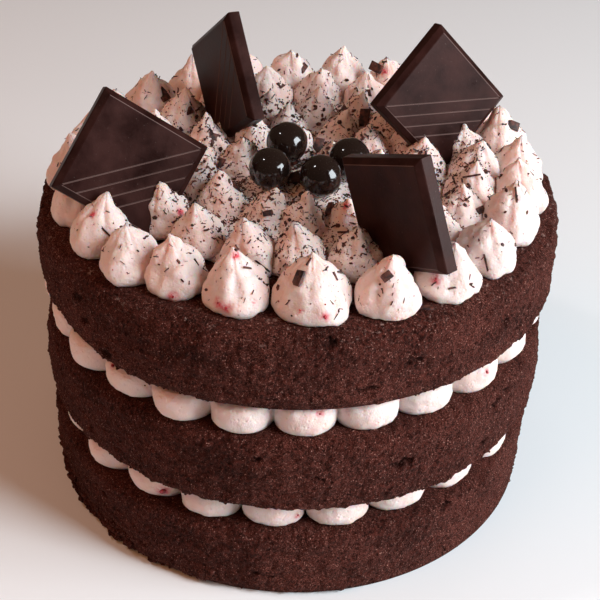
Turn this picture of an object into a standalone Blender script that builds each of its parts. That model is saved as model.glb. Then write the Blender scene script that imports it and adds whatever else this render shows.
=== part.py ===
# Chocolate naked cake: three dark sponge layers with two piped cream fillings,
# a top of piped cream dollops, and chocolate squares and balls set into the cream.
# Metres, +Z up, the front faces -Y, the origin is at the middle of the base.

import math
import random

import bmesh
import bpy
from mathutils import Matrix, Vector, noise

TOUCH_GAP = 0.0003
MERGE_DISTANCE = 0.00001

# Stack of layers
SPONGE_HEIGHT = 0.0290
FILLING_HEIGHT = 0.0110
SPONGE_RADII = (0.0879, 0.0885, 0.0900)
SPONGE_SHIFTS = ((-0.0014, 0.0003), (-0.0006, -0.0015), (0.0, 0.0))
SHOULDER_RADII = (0.0035, 0.0045, 0.0055)
SHOULDER_STEPS = 2
FOOT_SIZES = (0.0021, 0.0006, 0.0027)
FOOT_RISE = 1.4
BELLY = 0.0003
BELLY_LEVEL = 0.45
SPONGE_SIDES = 64

# Unevenness of the sponge: how deep it is, and how fast it changes round and up a layer
SPONGE_SWELL = 0.0012
SWELL_WAVES = 1.7
FINE_SWELL_WAVES = 4.1
FINE_SWELL_SHARE = 0.5
SWELL_RISE = 34.0
SPONGE_CRAG = 0.0011
CRAG_WAVES = 9.0
CRAG_RISE = 180.0
LAYER_SEEDS = (1.0, 8.3, 15.6)

# Piped fillings
FILLING_RADII = (0.0868, 0.0884)
FILLING_SHIFTS = ((-0.0016, 0.0006), (-0.0012, 0.0))
FILLING_COUNTS = (23, 25)
FILLING_PHASES = (-93.4, -86.5)
FILLING_COLUMNS = 5
FILLING_NOTCH = 0.0088
FILLING_UNEVEN = 0.0008
FILLING_SEED = 40

# Edge of a filling: how far in and how high each point is, as shares of its height
FILLING_EDGE = ((0.22, 1.0), (0.0, 0.70), (0.0, 0.30), (0.10, 0.0))

# Dollops on top
OUTER_RING_RADIUS = 0.0755
OUTER_ANGLES = (
    -178, -162, -147, -133, -120, -104, -86, -69, -53, -38, -23, -9,
    4, 18, 33, 48, 63, 78, 93, 108, 123, 138, 153, 167,
)
OUTER_WIDTH = 0.0204
OUTER_HEIGHT = 0.0186

# How far inside the outer ring some of its dollops stand, by angle
OUTER_INSETS = {-120: 0.0026, -104: 0.0023, -86: 0.0018, -69: -0.0018, -53: -0.0010}

# One dollop at the front is wider than the rest
WIDE_ANGLE = -86
WIDE_EXTRA = 0.0034
WIDE_SPREAD = 12

# The second ring and the middle share a centre a little off the cake's own
INNER_CENTRE = (0.0035, 0.0035)
SECOND_RING_RADIUS = 0.0575
SECOND_ANGLES = (
    -176, -160, -143, -127, -108, -93, -75, -44, -30, -16,
    -2, 15, 31, 49, 68, 87, 106, 125, 144, 164,
)
SECOND_WIDTH = 0.0190
SECOND_HEIGHT = 0.0176
DOLLOP_SIDES = 12
SMALL_DOLLOP_SIDES = 9
RING_JITTER = 0.0005
WIDTH_JITTER = 0.03
HEIGHT_JITTER = 0.07
TIP_CURL = 0.0032
LEAST_CURL = 0.2
FOLD_DEPTH = 0.05
FOLD_COUNT = 3
FOLD_TWIST = 4.0
OUTER_SEED = 11
SECOND_SEED = 23

# Side of a dollop from the tip down, as shares of its radius and of its height
DOLLOP_SIDE = ((0.15, 0.91), (0.60, 0.62), (0.94, 0.36), (1.00, 0.17), (0.86, 0.0))
HEAP_DOLLOP_SIDE = ((0.15, 0.91), (0.64, 0.58), (1.00, 0.24), (0.96, 0.0))

# Walls between dollops: how far apart two can be and still press on each other
WALL_SEARCH = 0.0100
PRESS_ROUNDS = 3

# Crowded middle of the top
HEAP_RADIUS = 0.0475
HEAP_RINGS = ((0.0385, 16, 0), (0.0235, 9, 24), (0.0092, 3, 117))
HEAP_WIDTH = 0.0176
HEAP_HEIGHT = 0.0170
HEAP_SIDES = 8
HEAP_TURN_JITTER = 4.0
HEAP_MARGIN = 0.0002
HEAP_FLOOR_LIFT = 0.0004
HEAP_CORE_SIDES = 24
HEAP_CORE_RINGS = 4
HEAP_CORE_HEIGHT = 0.0035
MOUND_HEIGHT = 0.0082
MOUND_RADIUS = 0.0200
MOUND_CENTRE = (0.0030, -0.0140)
HEAP_SEED = 5

# Chocolate squares: face centre, way the face looks, lean back, turn in its plane
SQUARE_WIDTH = 0.0387
SQUARE_HEIGHT = 0.0361
SQUARE_THICKNESS = 0.0058
SQUARE_RIM = 0.0019
SQUARE_RIM_DEPTH = 0.0016
SQUARE_POSES = {
    "chocolate_square_left": ((-0.0529, -0.0309, 0.1335), 23.5, 25.4, -39.3),
    "chocolate_square_right": ((0.0495, 0.0145, 0.1361), 29.0, 13.6, -50.8),
    "chocolate_square_back": ((-0.0294, 0.0310, 0.1340), -61.4, 4.6, -50.1),
    "chocolate_square_front": ((0.0279, -0.0565, 0.1324), -51.5, -1.3, 23.5),
}
GROOVE_SLOPES = {
    "chocolate_square_left": 1,
    "chocolate_square_right": 1,
    "chocolate_square_back": -1,
}
GROOVE_COUNT = 4
GROOVE_PITCH = 0.0038
GROOVE_WIDTH = 0.0006
GROOVE_DEPTH = 0.0003
GROOVE_REACH = 1.5
SQUARE_CREASE = 20

# Chocolate balls
BALL_RADIUS = 0.0070
BALL_CENTRES = (
    (-0.0042, -0.0020, 0.1280),
    (-0.0094, -0.0190, 0.1272),
    (0.0073, -0.0232, 0.1272),
    (0.0169, -0.0118, 0.1276),
)
BALL_CLEARING = 0.0115
BALL_SIDES = 14
BALL_ROWS = 9
BALL_CREASE = 60

# Chocolate flakes fused to the cream
FLAKE_LENGTH = 0.0042
FLAKE_WIDTH = 0.0022
FLAKE_THICKNESS = 0.0009
FLAKE_RISE = 0.60
FLAKE_REACH = 0.56
FLAKE_TILT = 0.75
FLAKE_SWING = 1.2
FLAKE_MARGIN = 0.0002
OUTER_FLAKE_STEP = 3
HEAP_FLAKES = 8
FLAKE_SEED = 3
HEAP_FLAKE_SEED = 77

TOP_LEVEL = 3 * SPONGE_HEIGHT + 2 * FILLING_HEIGHT + 4 * TOUCH_GAP
CREAM_FLOOR = TOP_LEVEL + TOUCH_GAP


# Starting clean

def clear_scene():
    for item in list(bpy.data.objects):
        bpy.data.objects.remove(item)


def new_collection(name):
    collection = bpy.data.collections.new(name)
    bpy.context.scene.collection.children.link(collection)
    return collection


# Materials

def principled(name, colour, roughness):
    material = bpy.data.materials.new(name)
    material.use_nodes = True
    shader = material.node_tree.nodes["Principled BSDF"]
    shader.inputs["Base Color"].default_value = (*colour, 1.0)
    shader.inputs["Roughness"].default_value = roughness
    shader.inputs["Metallic"].default_value = 0.0
    return material


def finish(item, material, crease_degrees=50):
    item.data.materials.clear()
    item.data.materials.append(material)
    item.data.shade_smooth()
    item.data.set_sharp_from_angle(angle=math.radians(crease_degrees))
    return item


# Making and joining solids

def mesh_object(name, mesh, collection):
    item = bpy.data.objects.new(name, mesh)
    collection.objects.link(item)
    return item


# Turns an outline of (radius, height) points, listed from top to bottom
def turned(name, outline, sides, collection):
    mesh = bpy.data.meshes.new(name)
    points = [(radius, 0.0, height) for radius, height in outline]
    links = [(index, index + 1) for index in range(len(points) - 1)]
    mesh.from_pydata(points, links, [])
    profile = mesh_object(name + "_outline", mesh, collection)
    screw = profile.modifiers.new("Turn", "SCREW")
    screw.steps = sides
    screw.render_steps = sides
    screw.use_merge_vertices = True
    screw.merge_threshold = MERGE_DISTANCE
    bpy.context.view_layer.update()
    graph = bpy.context.evaluated_depsgraph_get()
    solid = bpy.data.meshes.new_from_object(profile.evaluated_get(graph))
    bpy.data.objects.remove(profile)
    solid.name = name
    return mesh_object(name, solid, collection)


def move_points(item, mover):
    for vertex in item.data.vertices:
        vertex.co = mover(vertex.co.copy())
    item.data.update()


def apply_modifiers(item):
    bpy.context.view_layer.update()
    graph = bpy.context.evaluated_depsgraph_get()
    solid = bpy.data.meshes.new_from_object(item.evaluated_get(graph))
    item.modifiers.clear()
    item.data = solid


# Keeps the body with the most points, and drops loose scraps
def keep_main_body(item):
    mesh = bmesh.new()
    mesh.from_mesh(item.data)
    waiting = set(mesh.verts)
    bodies = []
    while waiting:
        start = waiting.pop()
        body = {start}
        edge_of_body = [start]
        while edge_of_body:
            vertex = edge_of_body.pop()
            for edge in vertex.link_edges:
                other = edge.other_vert(vertex)
                if other in waiting:
                    waiting.discard(other)
                    body.add(other)
                    edge_of_body.append(other)
        bodies.append(body)
    bodies.sort(key=len)
    for body in bodies[:-1]:
        bmesh.ops.delete(mesh, geom=list(body), context="VERTS")
    mesh.to_mesh(item.data)
    mesh.free()


def cut_away(item, cutters):
    cut = item.modifiers.new("Cut", "BOOLEAN")
    cut.operation = "DIFFERENCE"
    cut.operand_type = "COLLECTION"
    cut.collection = cutters
    apply_modifiers(item)
    keep_main_body(item)


def fuse(item, additions):
    union = item.modifiers.new("Fuse", "BOOLEAN")
    union.operation = "UNION"
    union.operand_type = "COLLECTION"
    union.collection = additions
    apply_modifiers(item)
    for addition in list(additions.objects):
        bpy.data.objects.remove(addition)
    keep_main_body(item)


# Sponge layers

def waviness(angle, height, waves, rise, seed):
    around = Vector((math.cos(angle), math.sin(angle), 0.0)) * waves
    return noise.noise(around + Vector((0.0, 0.0, height * rise + seed * waves)))


def sponge_roughness(angle, height, seed):
    swell = waviness(angle, height, SWELL_WAVES, SWELL_RISE, seed)
    fine = waviness(angle, height, FINE_SWELL_WAVES, SWELL_RISE, seed)
    crag = waviness(angle, height, CRAG_WAVES, CRAG_RISE, seed)
    return SPONGE_SWELL * (swell + FINE_SWELL_SHARE * fine) + SPONGE_CRAG * crag


# Flat top, rounded shoulder, side with a slight belly, and a slanted foot
def sponge_outline(radius, height, shoulder, foot):
    outline = [(0.0, height)]
    for step in range(SHOULDER_STEPS + 1):
        turn = 0.5 * math.pi * step / SHOULDER_STEPS
        outline.append((
            radius - shoulder * (1.0 - math.sin(turn)),
            height - shoulder * (1.0 - math.cos(turn)),
        ))
    outline.append((radius + BELLY, BELLY_LEVEL * height))
    outline.append((radius, FOOT_RISE * foot))
    outline.append((radius - foot, 0.0))
    outline.append((0.0, 0.0))
    return outline


def sponge_layer(name, index, base, collection):
    radius = SPONGE_RADII[index]
    shift_x, shift_y = SPONGE_SHIFTS[index]
    outline = sponge_outline(radius, SPONGE_HEIGHT, SHOULDER_RADII[index], FOOT_SIZES[index])
    layer = turned(name, outline, SPONGE_SIDES, collection)

    def roughen(point):
        reach = math.hypot(point.x, point.y)
        angle = math.atan2(point.y, point.x)
        if reach > 0.5 * radius:
            reach += sponge_roughness(angle, point.z, LAYER_SEEDS[index])
        return Vector((
            reach * math.cos(angle) + shift_x,
            reach * math.sin(angle) + shift_y,
            point.z + base,
        ))

    move_points(layer, roughen)
    return layer


# Fillings piped as a ring of squashed dollops round a solid middle

def filling_outline(radius, height):
    edge = [(radius - inset * height, level * height) for inset, level in FILLING_EDGE]
    return [(0.0, height)] + edge + [(0.0, 0.0)]


def filling(name, index, base, collection):
    count = FILLING_COUNTS[index]
    shift_x, shift_y = FILLING_SHIFTS[index]
    first = math.radians(FILLING_PHASES[index]) - math.pi / count
    draw = random.Random(FILLING_SEED + index)
    bulges = [draw.uniform(-FILLING_UNEVEN, FILLING_UNEVEN) for _ in range(count)]
    outline = filling_outline(FILLING_RADII[index], FILLING_HEIGHT)
    layer = turned(name, outline, count * FILLING_COLUMNS, collection)

    # Each dollop is round seen from above, and the next one touches it
    def scallop(point):
        reach = math.hypot(point.x, point.y)
        angle = math.atan2(point.y, point.x)
        turn = (angle / math.tau * count + 1e-4) % count
        dollop = int(turn)
        across = 2.0 * (turn - dollop) - 1.0
        if reach > 0.5 * FILLING_RADII[index]:
            round_edge = 1.0 - math.sqrt(max(0.0, 1.0 - across * across))
            reach += bulges[dollop] * (1.0 - across * across) - FILLING_NOTCH * round_edge
        angle += first
        return Vector((
            reach * math.cos(angle) + shift_x,
            reach * math.sin(angle) + shift_y,
            point.z + base,
        ))

    move_points(layer, scallop)
    return layer


# Dollops

class Dollop:
    def __init__(self, middle, angle, ring_radius, width, height, draw):
        turn = math.radians(angle)
        ring = ring_radius + draw.uniform(-RING_JITTER, RING_JITTER)
        self.centre = Vector((middle[0] + ring * math.cos(turn), middle[1] + ring * math.sin(turn), 0.0))
        self.radius = 0.5 * width * draw.uniform(1.0 - WIDTH_JITTER, 1.0 + WIDTH_JITTER)
        self.height = height * draw.uniform(1.0 - HEIGHT_JITTER, 1.0 + HEIGHT_JITTER)
        self.fold_turn = draw.uniform(0.0, math.tau)
        curl_turn = draw.uniform(0.0, math.tau)
        curl = TIP_CURL * draw.uniform(LEAST_CURL, 1.0)
        self.curl = Vector((curl * math.cos(curl_turn), curl * math.sin(curl_turn), 0.0))
        self.walls = []


def ring_width(angle):
    spread = (angle - WIDE_ANGLE) / WIDE_SPREAD
    return OUTER_WIDTH + WIDE_EXTRA * math.exp(-spread * spread)


def outer_dollops():
    draw = random.Random(OUTER_SEED)
    dollops = []
    for angle in OUTER_ANGLES:
        ring_radius = OUTER_RING_RADIUS - OUTER_INSETS.get(angle, 0.0)
        dollops.append(Dollop((0.0, 0.0), angle, ring_radius, ring_width(angle), OUTER_HEIGHT, draw))
    return dollops


def second_dollops():
    draw = random.Random(SECOND_SEED)
    return [
        Dollop(INNER_CENTRE, angle, SECOND_RING_RADIUS, SECOND_WIDTH, SECOND_HEIGHT, draw)
        for angle in SECOND_ANGLES
    ]


def heap_dollops():
    draw = random.Random(HEAP_SEED)
    dollops = []
    for ring_radius, count, first in HEAP_RINGS:
        for index in range(count):
            jitter = draw.uniform(-HEAP_TURN_JITTER, HEAP_TURN_JITTER)
            angle = first + 360.0 * index / count + jitter
            dollops.append(Dollop(INNER_CENTRE, angle, ring_radius, HEAP_WIDTH, HEAP_HEIGHT, draw))
    return dollops


# Upright walls between neighbours, where each dollop is squashed flat
def set_walls(dollops):
    for dollop in dollops:
        for other in dollops:
            if other is dollop:
                continue
            way = other.centre - dollop.centre
            spacing = way.length
            if spacing > dollop.radius + other.radius + WALL_SEARCH:
                continue
            share = dollop.radius / (dollop.radius + other.radius)
            dollop.walls.append((way / spacing, dollop.centre, spacing * share - 0.5 * TOUCH_GAP))


def add_heap_wall(dollop):
    way = Vector((*INNER_CENTRE, 0.0)) - dollop.centre
    reach = way.length - HEAP_RADIUS - TOUCH_GAP
    dollop.walls.append((way.normalized(), dollop.centre, reach))


def press_inside(point, walls):
    for _ in range(PRESS_ROUNDS):
        for way, start, reach in walls:
            past = (point - start).dot(way) - reach
            if past > 0.0:
                point = point - way * past
    return point


def dollop_outline(dollop, side):
    points = [(width * dollop.radius, level * dollop.height) for width, level in side]
    return [(0.0, dollop.height)] + points + [(0.0, 0.0)]


def shape_dollop(item, dollop):
    def shape(point):
        rise = point.z / dollop.height
        angle = math.atan2(point.y, point.x)
        twist = FOLD_COUNT * angle + dollop.fold_turn + FOLD_TWIST * rise
        fold = 1.0 + FOLD_DEPTH * math.sin(twist)
        moved = Vector((point.x * fold, point.y * fold, point.z + CREAM_FLOOR))
        moved += dollop.centre + dollop.curl * rise ** 3
        return press_inside(moved, dollop.walls)

    move_points(item, shape)


def dollop_solid(name, dollop, side, sides, collection):
    item = turned(name, dollop_outline(dollop, side), sides, collection)
    shape_dollop(item, dollop)
    return item


# Chocolate squares

def square_matrix(pose):
    centre, bearing, lean, turn = pose
    bearing = math.radians(bearing)
    lean = math.radians(lean)
    turn = math.radians(turn)
    facing = Vector((
        math.sin(bearing) * math.cos(lean),
        -math.cos(bearing) * math.cos(lean),
        math.sin(lean),
    ))
    level = Vector((math.cos(bearing), math.sin(bearing), 0.0))
    upward = facing.cross(level)
    across = math.cos(turn) * level + math.sin(turn) * upward
    along = facing.cross(across)
    axes = Matrix((across, along, facing)).transposed().to_4x4()
    return Matrix.Translation(Vector(centre)) @ axes


# A block with its raised face at height zero, larger all round by spare
def square_block(name, spare, collection):
    mesh = bmesh.new()
    bmesh.ops.create_cube(mesh, size=1.0)
    depth = SQUARE_THICKNESS - SQUARE_RIM_DEPTH
    width = SQUARE_WIDTH + 2.0 * spare
    height = SQUARE_HEIGHT + 2.0 * spare
    bmesh.ops.scale(mesh, vec=(width, height, depth + spare), verts=mesh.verts)
    middle = -SQUARE_RIM_DEPTH - 0.5 * (depth + spare)
    bmesh.ops.translate(mesh, vec=(0.0, 0.0, middle), verts=mesh.verts)
    front = [face for face in mesh.faces if face.normal.z > 0.9]
    if spare > 0.0:
        bmesh.ops.translate(mesh, vec=(0.0, 0.0, spare), verts=front[0].verts)
    bmesh.ops.inset_individual(mesh, faces=front, thickness=SQUARE_RIM, depth=SQUARE_RIM_DEPTH)
    data = bpy.data.meshes.new(name)
    mesh.to_mesh(data)
    mesh.free()
    return mesh_object(name, data, collection)


def cut_grooves(item, slope, cutters):
    reach = GROOVE_REACH * SQUARE_WIDTH
    way = math.atan2(SQUARE_HEIGHT, slope * SQUARE_WIDTH)
    if slope < 0:
        way -= math.pi
    for index in range(GROOVE_COUNT):
        bpy.ops.mesh.primitive_cube_add(size=1.0)
        cutter = bpy.context.object
        cutter.name = "groove"
        offset = Vector((math.sin(way), -math.cos(way), 0.0)) * GROOVE_PITCH * index * slope
        placed = Matrix.Translation(offset) @ Matrix.Rotation(way, 4, "Z")
        size = Matrix.Diagonal((reach, GROOVE_WIDTH, 2.0 * GROOVE_DEPTH, 1.0))
        cutter.data.transform(placed @ size)
        for holder in list(cutter.users_collection):
            holder.objects.unlink(cutter)
        cutters.objects.link(cutter)
    cut_away(item, cutters)
    for cutter in list(cutters.objects):
        bpy.data.objects.remove(cutter)


def chocolate_square(name, parts, cutters):
    item = square_block(name, 0.0, parts)
    if name in GROOVE_SLOPES:
        cut_grooves(item, GROOVE_SLOPES[name], cutters)
    item.data.transform(square_matrix(SQUARE_POSES[name]))
    return item


def square_clearance(name, cutters):
    item = square_block(name + "_clearance", TOUCH_GAP, cutters)
    item.data.transform(square_matrix(SQUARE_POSES[name]))
    hide_cutter(item)
    return item


# Chocolate balls

def ball(name, centre, radius, collection):
    mesh = bmesh.new()
    place = Matrix.Translation(Vector(centre))
    bmesh.ops.create_uvsphere(
        mesh, u_segments=BALL_SIDES, v_segments=BALL_ROWS, radius=radius, matrix=place
    )
    data = bpy.data.meshes.new(name)
    mesh.to_mesh(data)
    mesh.free()
    return mesh_object(name, data, collection)


def hide_cutter(item):
    item.hide_render = True
    item.display_type = "WIRE"


# Flakes

def flake(place, facing, turn, collection):
    mesh = bmesh.new()
    bmesh.ops.create_cube(mesh, size=1.0)
    size = Matrix.Diagonal((FLAKE_LENGTH, FLAKE_WIDTH, FLAKE_THICKNESS, 1.0))
    aim = facing.to_track_quat("Z", "Y").to_matrix().to_4x4()
    spin = Matrix.Rotation(turn, 4, "Z")
    mesh.transform(Matrix.Translation(place) @ aim @ spin @ size)
    data = bpy.data.meshes.new("flake")
    mesh.to_mesh(data)
    mesh.free()
    item = mesh_object("flake", data, collection)
    hide_cutter(item)
    return item


# Puts a flake half sunk in a dollop's flank, on the side that looks inwards
def flake_on_dollop(dollop, draw, collection):
    inward = math.atan2(-dollop.centre.y, -dollop.centre.x)
    angle = inward + draw.uniform(-FLAKE_SWING, FLAKE_SWING)
    outward = Vector((math.cos(angle), math.sin(angle), 0.0))
    place = dollop.centre + outward * FLAKE_REACH * dollop.radius
    place += dollop.curl * FLAKE_RISE ** 3
    place.z = CREAM_FLOOR + FLAKE_RISE * dollop.height
    facing = Vector((outward.x, outward.y, FLAKE_TILT))
    return flake(place, facing, draw.uniform(0.0, math.pi), collection)


def flake_is_clear(item, dollop):
    for vertex in item.data.vertices:
        for way, start, reach in dollop.walls:
            if (vertex.co - start).dot(way) > reach - FLAKE_MARGIN:
                return False
    return True


# The crowded middle: a low core with the middle dollops and flakes fused on

def under_ball(dollop):
    for centre in BALL_CENTRES:
        away = math.hypot(dollop.centre.x - centre[0], dollop.centre.y - centre[1])
        if away < BALL_CLEARING:
            return True
    return False


def heap_core(name, collection):
    spacing = HEAP_RADIUS / HEAP_CORE_RINGS
    outline = [(spacing * ring, HEAP_CORE_HEIGHT) for ring in range(HEAP_CORE_RINGS + 1)]
    outline += [(HEAP_RADIUS, 0.0), (0.0, 0.0)]
    core = turned(name, outline, HEAP_CORE_SIDES, collection)

    def lift(point):
        point += Vector((*INNER_CENTRE, 0.0))
        if point.z > 0.5 * HEAP_CORE_HEIGHT:
            away = math.hypot(point.x - MOUND_CENTRE[0], point.y - MOUND_CENTRE[1])
            point.z += MOUND_HEIGHT * math.exp(-((away / MOUND_RADIUS) ** 2))
        return point + Vector((0.0, 0.0, CREAM_FLOOR))

    move_points(core, lift)
    return core


def hold_in_heap(item):
    limit = HEAP_RADIUS - HEAP_MARGIN

    def hold(point):
        across = point.x - INNER_CENTRE[0]
        along = point.y - INNER_CENTRE[1]
        reach = math.hypot(across, along)
        if reach > limit:
            point.x = INNER_CENTRE[0] + across * limit / reach
            point.y = INNER_CENTRE[1] + along * limit / reach
        point.z = max(point.z, CREAM_FLOOR + HEAP_FLOOR_LIFT)
        return point

    move_points(item, hold)


def cream_centre(parts, additions):
    heap = heap_core("cream_centre", parts)
    draw = random.Random(HEAP_FLAKE_SEED)
    dollops = [item for item in heap_dollops() if not under_ball(item)]
    for index, dollop in enumerate(dollops):
        name = "peak_%d" % (index + 1)
        piece = dollop_solid(name, dollop, HEAP_DOLLOP_SIDE, HEAP_SIDES, additions)
        hold_in_heap(piece)
    fuse(heap, additions)
    for dollop in draw.sample(dollops, HEAP_FLAKES):
        piece = flake_on_dollop(dollop, draw, additions)
        hold_in_heap(piece)
    fuse(heap, additions)
    return heap


# Assembly

def build_squares_and_balls(parts, cutters, clearances, chocolate, shell):
    for name in SQUARE_POSES:
        finish(chocolate_square(name, parts, cutters), chocolate, SQUARE_CREASE)
        square_clearance(name, clearances)
    for index, centre in enumerate(BALL_CENTRES):
        name = "chocolate_ball_%d" % (index + 1)
        finish(ball(name, centre, BALL_RADIUS, parts), shell, BALL_CREASE)
        hide_cutter(ball(name + "_clearance", centre, BALL_RADIUS + TOUCH_GAP, clearances))


def build_layers(parts, clearances, sponge, cream):
    names = ("sponge_bottom", "sponge_middle", "sponge_top")
    step = SPONGE_HEIGHT + FILLING_HEIGHT + 2.0 * TOUCH_GAP
    for index, name in enumerate(names):
        layer = sponge_layer(name, index, step * index, parts)
        if name == "sponge_top":
            cut_away(layer, clearances)
        finish(layer, sponge)
    for index, name in enumerate(("filling_lower", "filling_upper")):
        base = step * index + SPONGE_HEIGHT + TOUCH_GAP
        finish(filling(name, index, base, parts), cream)


def build_rings(parts, clearances, additions, cream):
    outer = outer_dollops()
    second = second_dollops()
    set_walls(outer + second)
    draw = random.Random(FLAKE_SEED)
    for dollop in second:
        add_heap_wall(dollop)
    rings = (("dollop_outer", outer, DOLLOP_SIDES), ("dollop_second", second, SMALL_DOLLOP_SIDES))
    for label, dollops, sides in rings:
        for index, dollop in enumerate(dollops):
            name = "%s_%02d" % (label, index + 1)
            item = dollop_solid(name, dollop, DOLLOP_SIDE, sides, parts)
            piece = flake_on_dollop(dollop, draw, additions)
            wanted = label == "dollop_second" or index % OUTER_FLAKE_STEP == 0
            if wanted and flake_is_clear(piece, dollop):
                fuse(item, additions)
            else:
                bpy.data.objects.remove(piece)
            cut_away(item, clearances)
            finish(item, cream)


def build_cake():
    clear_scene()
    parts = new_collection("chocolate_naked_cake")
    cutters = new_collection("cutters")
    clearances = new_collection("clearances")
    additions = new_collection("additions")
    sponge = principled("sponge", (0.035, 0.013, 0.007), 0.85)
    cream = principled("cream", (0.78, 0.60, 0.50), 0.45)
    chocolate = principled("chocolate", (0.045, 0.022, 0.018), 0.35)
    shell = principled("ball_chocolate", (0.012, 0.006, 0.005), 0.12)
    build_squares_and_balls(parts, cutters, clearances, chocolate, shell)
    build_layers(parts, clearances, sponge, cream)
    build_rings(parts, clearances, additions, cream)
    heap = cream_centre(parts, additions)
    cut_away(heap, clearances)
    finish(heap, cream)
    for item in clearances.objects:
        hide_cutter(item)


build_cake()
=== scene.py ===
# Looks for the chocolate naked cake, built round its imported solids.
import math
import random

import bpy
from mathutils import Matrix, Vector
from mathutils.bvhtree import BVHTree
from mathutils.kdtree import KDTree


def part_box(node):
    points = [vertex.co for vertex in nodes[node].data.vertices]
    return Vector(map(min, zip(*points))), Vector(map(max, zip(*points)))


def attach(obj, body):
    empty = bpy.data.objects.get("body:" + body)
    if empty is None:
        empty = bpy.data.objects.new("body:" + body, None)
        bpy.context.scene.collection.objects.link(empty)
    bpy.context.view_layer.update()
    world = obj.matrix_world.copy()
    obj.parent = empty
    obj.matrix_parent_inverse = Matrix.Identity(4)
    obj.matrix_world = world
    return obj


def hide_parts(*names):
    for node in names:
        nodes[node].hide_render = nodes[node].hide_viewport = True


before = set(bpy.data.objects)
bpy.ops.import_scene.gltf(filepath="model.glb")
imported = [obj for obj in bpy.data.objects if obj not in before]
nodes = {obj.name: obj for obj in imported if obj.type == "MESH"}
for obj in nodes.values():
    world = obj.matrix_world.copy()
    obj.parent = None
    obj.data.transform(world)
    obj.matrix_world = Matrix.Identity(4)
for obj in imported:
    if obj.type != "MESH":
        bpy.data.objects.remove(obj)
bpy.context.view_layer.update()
print("stage: frame loaded,", len(nodes), "nodes")


# Small helpers for working by operators

def makeActive(piece):
    bpy.ops.object.select_all(action="DESELECT")
    piece.select_set(True)
    bpy.context.view_layer.objects.active = piece


def startEdit(piece):
    makeActive(piece)
    bpy.ops.object.mode_set(mode="EDIT")
    bpy.ops.mesh.select_all(action="SELECT")


def endEdit():
    bpy.ops.object.mode_set(mode="OBJECT")


def applyModifier(piece, kind, **settings):
    modifier = piece.modifiers.new(kind.lower(), kind)
    for key, value in settings.items():
        setattr(modifier, key, value)
    makeActive(piece)
    bpy.ops.object.modifier_apply(modifier=modifier.name)


def settle(piece):
    # place, turn and size go into the mesh, the object stays at the origin
    makeActive(piece)
    bpy.ops.object.transform_apply(location=True, rotation=True, scale=True)


def smoothShade(piece, degrees=180):
    makeActive(piece)
    if degrees < 180:
        bpy.ops.object.shade_smooth_by_angle(angle=math.radians(degrees))
    else:
        bpy.ops.object.shade_smooth()


def addShape(name, add, scale=(1.0, 1.0, 1.0), **settings):
    bpy.ops.object.select_all(action="DESELECT")
    add(**settings)
    piece = bpy.context.object
    piece.name = name
    piece.scale = scale
    settle(piece)
    return piece


def copyPiece(piece, name):
    twin = piece.copy()
    twin.data = piece.data.copy()
    twin.name = name
    bpy.context.scene.collection.objects.link(twin)
    return twin


def dropPieces(pieces):
    for piece in pieces:
        bpy.data.objects.remove(piece)


def joinPieces(pieces, name):
    makeActive(pieces[0])
    for piece in pieces:
        piece.select_set(True)
    bpy.ops.object.join()
    joined = bpy.context.object
    joined.name = name
    return joined


def cloudTexture(name, size, depth=2, contrast=1.0, kind="SOFT_NOISE"):
    texture = bpy.data.textures.new(name, "CLOUDS")
    texture.noise_type = kind
    texture.noise_scale = size
    texture.noise_depth = depth
    texture.contrast = contrast
    return texture


def roughen(piece, texture, strength, middle=0.5, group=""):
    applyModifier(piece, "DISPLACE", texture=texture, strength=strength, mid_level=middle,
                  texture_coords="LOCAL", direction="NORMAL", vertex_group=group)


def turnedPiece(name, outline, steps):
    # an outline of (radius, height) points is drawn by extruding a vertex, then spun round Z
    radius, height = outline[0]
    piece = addShape(name, bpy.ops.mesh.primitive_plane_add, size=0.001, location=(radius, 0, height))
    startEdit(piece)
    bpy.ops.mesh.merge(type="CENTER")
    for here, there in zip(outline, outline[1:]):
        move = (there[0] - here[0], 0, there[1] - here[1])
        bpy.ops.mesh.extrude_vertices_move(TRANSFORM_OT_translate={"value": move})
    bpy.ops.mesh.select_all(action="SELECT")
    bpy.ops.mesh.spin(steps=steps, angle=math.tau, center=(0, 0, 0), axis=(0, 0, 1))
    bpy.ops.mesh.select_all(action="SELECT")
    bpy.ops.mesh.remove_doubles(threshold=0.000002)
    bpy.ops.mesh.normals_make_consistent(inside=False)
    endEdit()
    return piece


def axesMatrix(place, across, along, facing):
    return Matrix.Translation(place) @ Matrix((across, along, facing)).transposed().to_4x4()


def layFlat(place, facing, turn, size):
    # faces one way, and is turned in its own plane
    aim = facing.to_track_quat("Z", "Y").to_matrix().to_4x4()
    return Matrix.Translation(place) @ aim @ Matrix.Rotation(turn, 4, "Z") @ Matrix.Diagonal((*size, 1.0))


def evenPath(points, spacing):
    # the same path with points a fixed distance apart
    path = [points[0]]
    for start, end in zip(points, points[1:]):
        length = math.dist(start, end)
        count = max(1, round(length / spacing))
        for step in range(1, count + 1):
            share = step / count
            path.append((start[0] + share * (end[0] - start[0]), start[1] + share * (end[1] - start[1])))
    return path


def surfaceTree(pieces):
    points, faces = [], []
    for piece in pieces:
        start = len(points)
        points.extend(vertex.co.copy() for vertex in piece.data.vertices)
        faces.extend([start + index for index in face.vertices] for face in piece.data.polygons)
    return BVHTree.FromPolygons(points, faces)


# Materials

def newMaterial(name):
    material = bpy.data.materials.new(name)
    material.use_nodes = True
    tree = material.node_tree
    shader = tree.nodes["Principled BSDF"]
    place = tree.nodes.new("ShaderNodeTexCoord").outputs["Object"]
    return material, tree, shader, place


def setSockets(tree, node, sockets):
    # a number or a tuple is set on its socket, and anything else is linked to it
    for name, value in sockets.items():
        if isinstance(value, (float, tuple)):
            node.inputs[name].default_value = value
        else:
            tree.links.new(value, node.inputs[name])


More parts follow.
